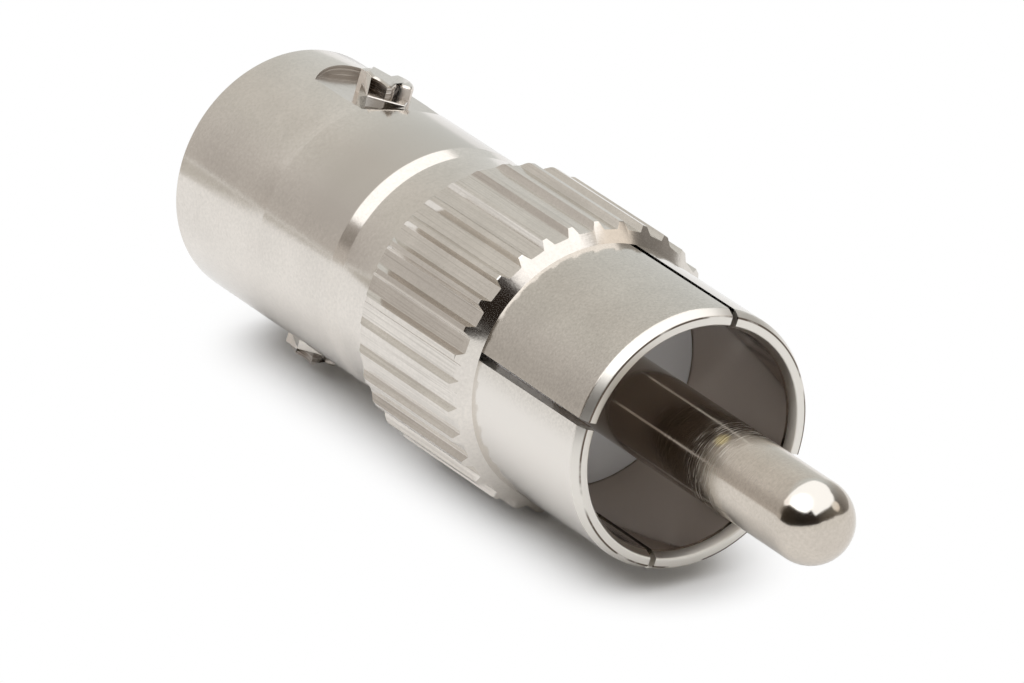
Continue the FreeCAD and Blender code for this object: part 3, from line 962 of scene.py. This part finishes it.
BRIGHT_NICKEL = metal("bright nickel", (0.64, 0.605, 0.555), 0.12, grain_size=0.10, speckle=0.8, tints=[
    # painted light: paler lower half of the sleeve, a painted reflection of the paper
    (sleeve_lower_painted_light, (0.76, 0.725, 0.68), 0.0),
    # painted shade: darker, browner inner wall of the sleeve
    (sleeve_inside_painted_shade, (0.50, 0.43, 0.375), 0.0),
    (sleeve_rim, (0.74, 0.71, 0.66), 0.22),
    (sleeve_rim_lines, (0.12, 0.09, 0.07), 0.0),
])

# %% [markdown]
# ## The pin's nickel
#
# The pin is warmer, and fine rings run round it. Its part inside the sleeve is painted darker and browner, a
# painted shade with a ragged border, and just outside the sleeve fine scratches show where jacks rubbed it. A
# small spot in front of the sleeve has worn through to the brass, and a paler spot on the nose is a painted
# highlight.

# %% Pin nickel
WORN_SPOT = (2.84, -0.70, 1.43)
# middle of the painted highlight on the pin's nose
HIGHLIGHT_SPOT = (8.17, -0.34, 1.39)


def pin_inside_painted_shade(tree, faults):
    """Painted shade: darker, browner colour on the part of the pin inside the sleeve, with a ragged border.
    """
    ragged = plus(place_on_lathe(tree).along, times(faults["Rings"], 3.0))
    return falls(ragged, 1.2, 2.9)


def pin_scratches(tree, faults):
    """Fine scratches round the pin where jacks rubbed it, just outside the sleeve."""
    along = place_on_lathe(tree).along
    band = times(rises(along, 1.1, 2.3), falls(along, 3.3, 4.6))
    lines = times(minus(faults["Rings"], 0.42), 3.8, clamp=True)
    return times(band, lines)


def pin_wear(tree, faults):
    """Small spot where the brass shows through."""
    return times(near_point(tree, WORN_SPOT, 0.15, 0.42), 0.8)


def pin_painted_highlight(tree, faults):
    """Painted highlight: a paler spot on the nose."""
    return near_point(tree, HIGHLIGHT_SPOT, 0.75, 1.05)


PIN_NICKEL = metal("pin nickel", (0.60, 0.545, 0.48), 0.13, grain_size=0.12, speckle=0.45,
                   ring_height=0.0014, tints=[
                       # painted shade: darker pin inside the sleeve
                       (pin_inside_painted_shade, (0.34, 0.285, 0.235), 0.0),
                       (pin_scratches, (0.66, 0.61, 0.54), 0.20),
                       (pin_wear, (0.80, 0.68, 0.36), 0.08),
                       # painted highlight on the nose
                       (pin_painted_highlight, (0.63, 0.605, 0.56), 0.0),
                   ])

# %% [markdown]
# ## White plastics
#
# The two insulators are moulded or turned from white plastic. Next to polished metal even a plain
# white looks flat, so it gets a faint drift of tone and a height that is hardly there.

# %% Plastics
TONE_SCALE, HEIGHT_SCALE = 900.0, 6000.0    # noise cells per metre
PLASTIC_HEIGHT = 0.002                      # in mm


def plastic(name, colour, shade):
    """Smooth white plastic with a faint unevenness."""
    mat, tree, surface = new_material(name)
    shader = tree.nodes.new("ShaderNodeBsdfPrincipled")
    place = object_place(tree)
    tone = mixed(noise_node(place, TONE_SCALE, 3.0), shade, colour)
    feed(shader.inputs["Base Color"], tone)
    feed(shader.inputs["Roughness"], 0.35)
    bumpy(shader, times(noise_node(place, HEIGHT_SCALE), PLASTIC_HEIGHT))
    feed(surface, shader.outputs[0])
    print(f"{name}: {len(tree.nodes)} nodes")
    return mat


DISC_PLASTIC = plastic("disc plastic", (0.94, 0.95, 0.96), (0.88, 0.89, 0.91))
NOSE_PLASTIC = plastic("nose plastic", (0.88, 0.88, 0.86), (0.82, 0.82, 0.80))

# %% [markdown]
# ## Pieces and CAD nodes
#
# Each fine piece stands for one CAD node, which is then hidden. The adapter has no moving parts, so all six
# ride on its one body.

# %% Put the pieces in place of the CAD nodes
PIECES = [
    (body, "bayonet_body", "nickel_body", SATIN_NICKEL),
    (sleeve, "rca_ground_sleeve", "nickel_sleeve", BRIGHT_NICKEL),
    (pin, "rca_centre_pin", "nickel_pin", PIN_NICKEL),
    (disc, "rca_insulator", "white_plastic", DISC_PLASTIC),
    (nose, "bnc_insulator", "nose_plastic", NOSE_PLASTIC),
    (contact, "bnc_socket_contact", "contact_metal", SPRING_BRASS),
]
for obj, node, slot, finish in PIECES:
    obj.data.materials.clear()
    obj.data.materials.append(finish)
    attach(obj, "root")
    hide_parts(node)
    print(f"{obj.name} stands for {node} in {finish.name}")

# %% [markdown]
# ## The studio
#
# A mirror shows its surroundings, so the light is planned as surroundings. A big ball stands round the
# table like a photographer's tent, and its painted inside both lights the adapter and shows in it: a
# pale ceiling with a brighter lamp, walls that are grey behind the socket end and nearly black on the
# camera's side, two soft patches, and white paper that bends up in front.
#
# The walls are colours by azimuth, and the two edges are heights by azimuth. A colour ramp holds each
# of them, and every border is soft. All heights and widths here are in degrees.

# %% Colours and edges of the room
CEILING = (1.55, 1.54, 1.54)
CEILING_LAMP = (-90, 58, 15, 35, (2.5, 2.5, 2.5))   # azimuth, height, inner and outer radius, colour
WALL_PATCHES = [                                    # the same five values each
    (59, 34, 9, 13, (1.05, 0.96, 0.86)),
    (-129, 3, 4, 13, (0.62, 0.58, 0.54)),
]
OPEN_END = (180, 0, 43, 47)     # round patch behind the socket end that the ceiling leaves free
PAPER = (0.98, 0.98, 0.97)
WALLS = [                       # azimuth from +X towards +Y, colour of the room between floor and ceiling
    (-180, (0.69, 0.67, 0.63)), (-160, (0.67, 0.65, 0.61)), (-145, (0.64, 0.61, 0.58)),
    (-137, (0.49, 0.46, 0.43)), (-131, (0.36, 0.33, 0.30)), (-125, (0.17, 0.15, 0.13)),
    (-115, (0.05, 0.04, 0.03)), (-60, (0.022, 0.018, 0.014)), (-20, (0.030, 0.022, 0.018)),
    (0, (0.10, 0.085, 0.07)), (30, (0.17, 0.15, 0.125)), (58, (0.26, 0.24, 0.21)),
    (75, (0.20, 0.185, 0.17)), (90, (0.32, 0.30, 0.28)), (115, (0.50, 0.49, 0.47)),
    (135, (0.76, 0.78, 0.77)), (155, (0.72, 0.72, 0.69)), (180, (0.69, 0.67, 0.63)),
]
CEILING_EDGE = [                # azimuth, height over the table where the ceiling begins
    (-180, 30), (-132, 28), (-125, 33), (-118, 40), (-105, 43), (-50, 44), (-35, 53), (-20, 38), (0, 43),
    (15, 45), (35, 44), (60, 43), (75, 40), (100, 42), (120, 35), (140, 30), (180, 30),
]
PAPER_EDGE = [                  # azimuth, height up to which the paper bends up in front
    (-180, 0), (-90, 2), (-60, 8), (-20, 15), (0, 20), (40, 20), (60, 12), (90, 2), (120, 0), (180, 0),
]
print("the ceiling begins between", min(h for a, h in CEILING_EDGE), "and", max(h for a, h in CEILING_EDGE))

# %% Painting by direction
def look_direction(tree):
    """Direction from the table, with its azimuth as a share of a full turn and its height of 90 degrees."""
    outward = tree.nodes.new("ShaderNodeVectorMath")
    outward.operation = "NORMALIZE"
    feed(outward.inputs[0], object_place(tree))
    direction = outward.outputs["Vector"]
    axes = axes_of(direction)
    azimuth = math_node("ARCTAN2", axes["Y"], axes["X"])
    turn = plus(math_node("DIVIDE", azimuth, math.tau), 0.5)
    height = math_node("DIVIDE", math_node("ARCSINE", axes["Z"]), math.pi / 2)
    return direction, turn, height


def by_azimuth(turn, stops):
    """Colour that changes with the azimuth. A stop may also be one number, an angle as a share of 90."""
    node = tree_of(turn).nodes.new("ShaderNodeValToRGB")
    feed(node.inputs["Fac"], turn)
    stops = [(degrees, v if isinstance(v, tuple) else (v / 90,) * 3) for degrees, v in stops]
    ends = node.color_ramp.elements
    ends[0].position, ends[1].position = 0.0, 1.0
    ends[0].color, ends[1].color = (*stops[0][1], 1), (*stops[-1][1], 1)
    for degrees, colour in stops[1:-1]:
        ends.new((degrees + 180) / 360).color = (*colour, 1)
    return node.outputs["Color"]


def round_patch(direction, azimuth, elevation, inner, outer):
    """1 inside a round patch of the surroundings, 0 outside it. The two radii are in degrees."""
    az, el = math.radians(azimuth), math.radians(elevation)
    dot = tree_of(direction).nodes.new("ShaderNodeVectorMath")
    dot.operation = "DOT_PRODUCT"
    feed(dot.inputs[0], direction)
    feed(dot.inputs[1], (math.cos(az) * math.cos(el), math.sin(az) * math.cos(el), math.sin(el)))
    return rises(dot.outputs["Value"], math.cos(math.radians(outer)), math.cos(math.radians(inner)))


def painted_room(tree):
    """Colour of the room in the direction of a point of the tent."""
    direction, turn, height = look_direction(tree)
    wall = by_azimuth(turn, WALLS)
    for *where, colour in WALL_PATCHES:
        wall = mixed(round_patch(direction, *where), wall, colour)
    *lamp_place, lamp_colour = CEILING_LAMP
    ceiling = mixed(round_patch(direction, *lamp_place), CEILING, lamp_colour)
    over_edge = minus(height, by_azimuth(turn, CEILING_EDGE))
    is_ceiling = times(rises(over_edge, -2 / 90, 2 / 90), minus(1.0, round_patch(direction, *OPEN_END)))
    under_edge = minus(by_azimuth(turn, PAPER_EDGE), height)
    is_paper = rises(under_edge, -1 / 90, 1 / 90)
    return mixed(is_paper, mixed(is_ceiling, wall, ceiling), PAPER)


print("stops round the room:", len(WALLS), "colours,", len(CEILING_EDGE), "and", len(PAPER_EDGE), "heights")

# %% [markdown]
# The tent isn't part of the adapter, and the camera doesn't see it. Past the paper's edge the camera sees the
# world, which is plain white. The tent isn't sampled as a lamp. Rays find it by themselves, which is quick
# enough for a source that is all round.

# %% Light tent and world
TENT_RADIUS = 4.0               # in metres
TENT_FINENESS = 5               # how often the ball's triangles are divided


def glow(tree, colour):
    """Emission of a colour or a socket, at strength 1."""
    node = tree.nodes.new("ShaderNodeEmission")
    feed(node.inputs["Color"], colour)
    return node.outputs[0]


bm = bmesh.new()
bmesh.ops.create_icosphere(bm, subdivisions=TENT_FINENESS, radius=TENT_RADIUS)
tent = to_object("light_tent", bm)
mat, tree, surface = new_material("light tent")
feed(surface, glow(tree, painted_room(tree)))
mat.cycles.emission_sampling = "NONE"
tent.data.materials.append(mat)
tent.visible_camera = False

world = bpy.data.worlds.new("white")
scene.world = world
world.use_nodes = True
background = world.node_tree.nodes["Background"]
feed(background.inputs["Color"], (1, 1, 1))
feed(background.inputs["Strength"], 1.0)
print("world:", world.name)

# %% [markdown]
# ## The paper
#
# The adapter lies on a plain white sheet at the height of its lowest ridges. Paper is matt, so it takes
# the adapter's soft shadow. A few millimetres away the photograph is plain white, so there the sheet
# shows white of strength 1 to the camera, and to reflections and transmission. Diffuse rays still
# meet the matt sheet everywhere, so the light that it throws on the plastics stays the same.

# %% Paper
PAPER_COLOUR = (0.88, 0.885, 0.89)
PAPER_REACH = 1.5                           # in metres to each side
SHADOW_FROM, SHADOW_TO = -23.5, -2.5        # stretch of the axis whose shadow stays, in mm
WHITE_FROM, WHITE_TO = 1.5, 5.5             # distance from it over which the paper turns white, in mm
GLOSSY_NEARER = 0.6                         # share of the distance that a reflection doesn't count


def matt(tree, colour):
    """Diffuse surface of one colour."""
    node = tree.nodes.new("ShaderNodeBsdfDiffuse")
    feed(node.inputs["Color"], colour)
    return node.outputs[0]


def distance_from_shadow(tree):
    """Distance on the paper from the stretch of the axis whose shadow stays, in metres."""
    axes = axes_of(object_place(tree))
    in_front = minus(axes["X"], SHADOW_TO * MM)
    behind = minus(SHADOW_FROM * MM, axes["X"])
    beyond = math_node("MAXIMUM", math_node("MAXIMUM", in_front, behind), 0.0)
    return hypotenuse(beyond, axes["Y"])


bm = bmesh.new()
bmesh.ops.create_grid(bm, x_segments=1, y_segments=1, size=PAPER_REACH)
bmesh.ops.translate(bm, verts=bm.verts[:], vec=(0, 0, CAD_BOX[0].z))
paper = to_object("paper", bm)
mat, tree, surface = new_material("white paper")
rays = tree.nodes.new("ShaderNodeLightPath").outputs
wider = minus(1.0, times(rays["Is Glossy Ray"], GLOSSY_NEARER))
away = times(distance_from_shadow(tree), wider)
seen = plus(plus(rays["Is Camera Ray"], rays["Is Glossy Ray"]), rays["Is Transmission Ray"], clamp=True)
choose = tree.nodes.new("ShaderNodeMixShader")
white = times(rises(away, WHITE_FROM * MM, WHITE_TO * MM), seen)
feed(choose.inputs["Fac"], white)
feed(choose.inputs[1], matt(tree, PAPER_COLOUR))
feed(choose.inputs[2], glow(tree, (1, 1, 1)))
feed(surface, choose.outputs[0])
mat.cycles.emission_sampling = "NONE"
paper.data.materials.append(mat)

# %% [markdown]
# The barrel mirrors the table. In the photograph that reflection has a border, beyond which it is
# darker, so something grey must have lain left of the frame. A grey board in that place gives the same
# border. It neither shows to the camera nor changes the light on matt things.

# %% Grey board
BOARD_COLOUR = (0.48, 0.46, 0.425)
BOARD_CORNERS = [(-60, -32.3), (-1500, -1332), (-1500, 400), (-60, 10)]     # in mm on the table
BOARD_LIFT = 0.05                           # over the paper, in mm

bm = bmesh.new()
height = CAD_BOX[0].z + BOARD_LIFT * MM
bm.faces.new([bm.verts.new((x * MM, y * MM, height)) for x, y in BOARD_CORNERS])
face_outward(bm)
board = to_object("grey_board", bm)
mat, tree, surface = new_material("grey board")
feed(surface, matt(tree, BOARD_COLOUR))
board.data.materials.append(mat)
board.visible_camera = False
board.visible_diffuse = False

# %% [markdown]
# ## The camera
#
# The photograph was taken from far away with a long lens: the two ends of the adapter are nearly the
# same size in it. The camera stands half a metre off, 25 degrees above the paper, and a little rolled.

# %% Camera
LENS, SENSOR_WIDTH = 492.2, 36
CAMERA_PLACE = Vector((371.77, -250.18, 209.30))    # in mm
CAMERA_LOOKS = Vector((-0.7613, 0.4965, -0.4169))
CAMERA_UP = Vector((-0.3599, 0.2111, 0.9084))

data = bpy.data.cameras.new("camera")
data.lens = LENS
data.sensor_width = SENSOR_WIDTH
data.clip_start, data.clip_end = 0.01, 10
camera = bpy.data.objects.new("camera", data)
scene.collection.objects.link(camera)
forward = CAMERA_LOOKS.normalized()
right = forward.cross(CAMERA_UP).normalized()
turn = Matrix((right, right.cross(forward), -forward)).transposed()
camera.matrix_world = Matrix.Translation(CAMERA_PLACE * MM) @ turn.to_4x4()
scene.camera = camera
print("camera at", [round(v, 4) for v in camera.location])
